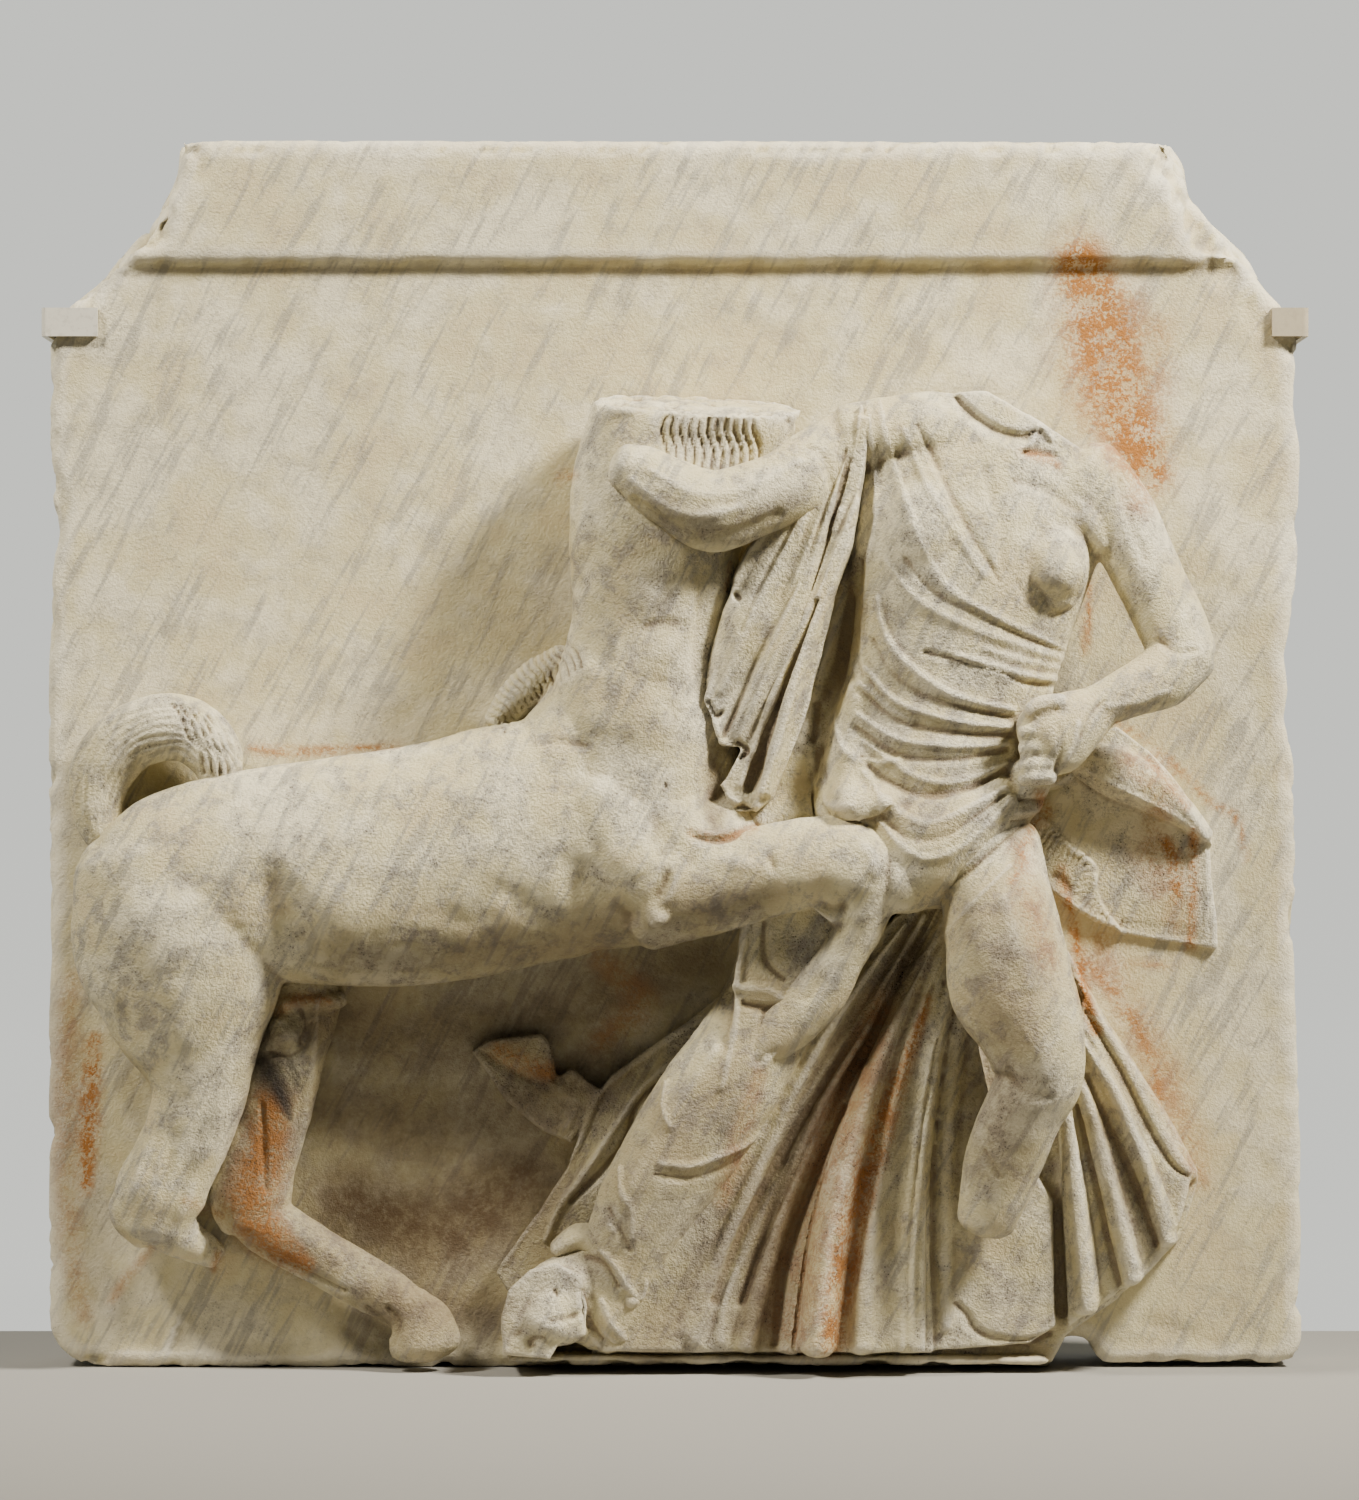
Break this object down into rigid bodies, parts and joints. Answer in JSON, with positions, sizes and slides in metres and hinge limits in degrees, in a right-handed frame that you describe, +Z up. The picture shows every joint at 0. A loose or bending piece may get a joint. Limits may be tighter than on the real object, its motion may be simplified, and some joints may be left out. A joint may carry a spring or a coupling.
{
  "type": "marble relief panel",
  "caption": "Square marble frieze panel with a plain top band, carved in high relief with a headless centaur seizing a headless draped woman, and held at its upper edges by bent metal clips",
  "frame": {"origin": "on the underside, at the middle of the panel's width and of the slab's depth", "axes": "+X to the viewer's right along the width, -Y out of the carved front, +Z up"},
  "size_m": [1.4246, 0.3678, 1.3789],
  "materials": {
    "marble": "weathered matt marble with grey mottling and rust stains",
    "off_white_clip": "satin off-white paint on steel",
    "stone_clip": "stone-coloured paint on steel"
  },
  "bodies": {
    "root": {"marble_relief": "marble", "wall_clip_left": "off_white_clip", "wall_clip_right": "stone_clip"}
  },
  "joints": []
}
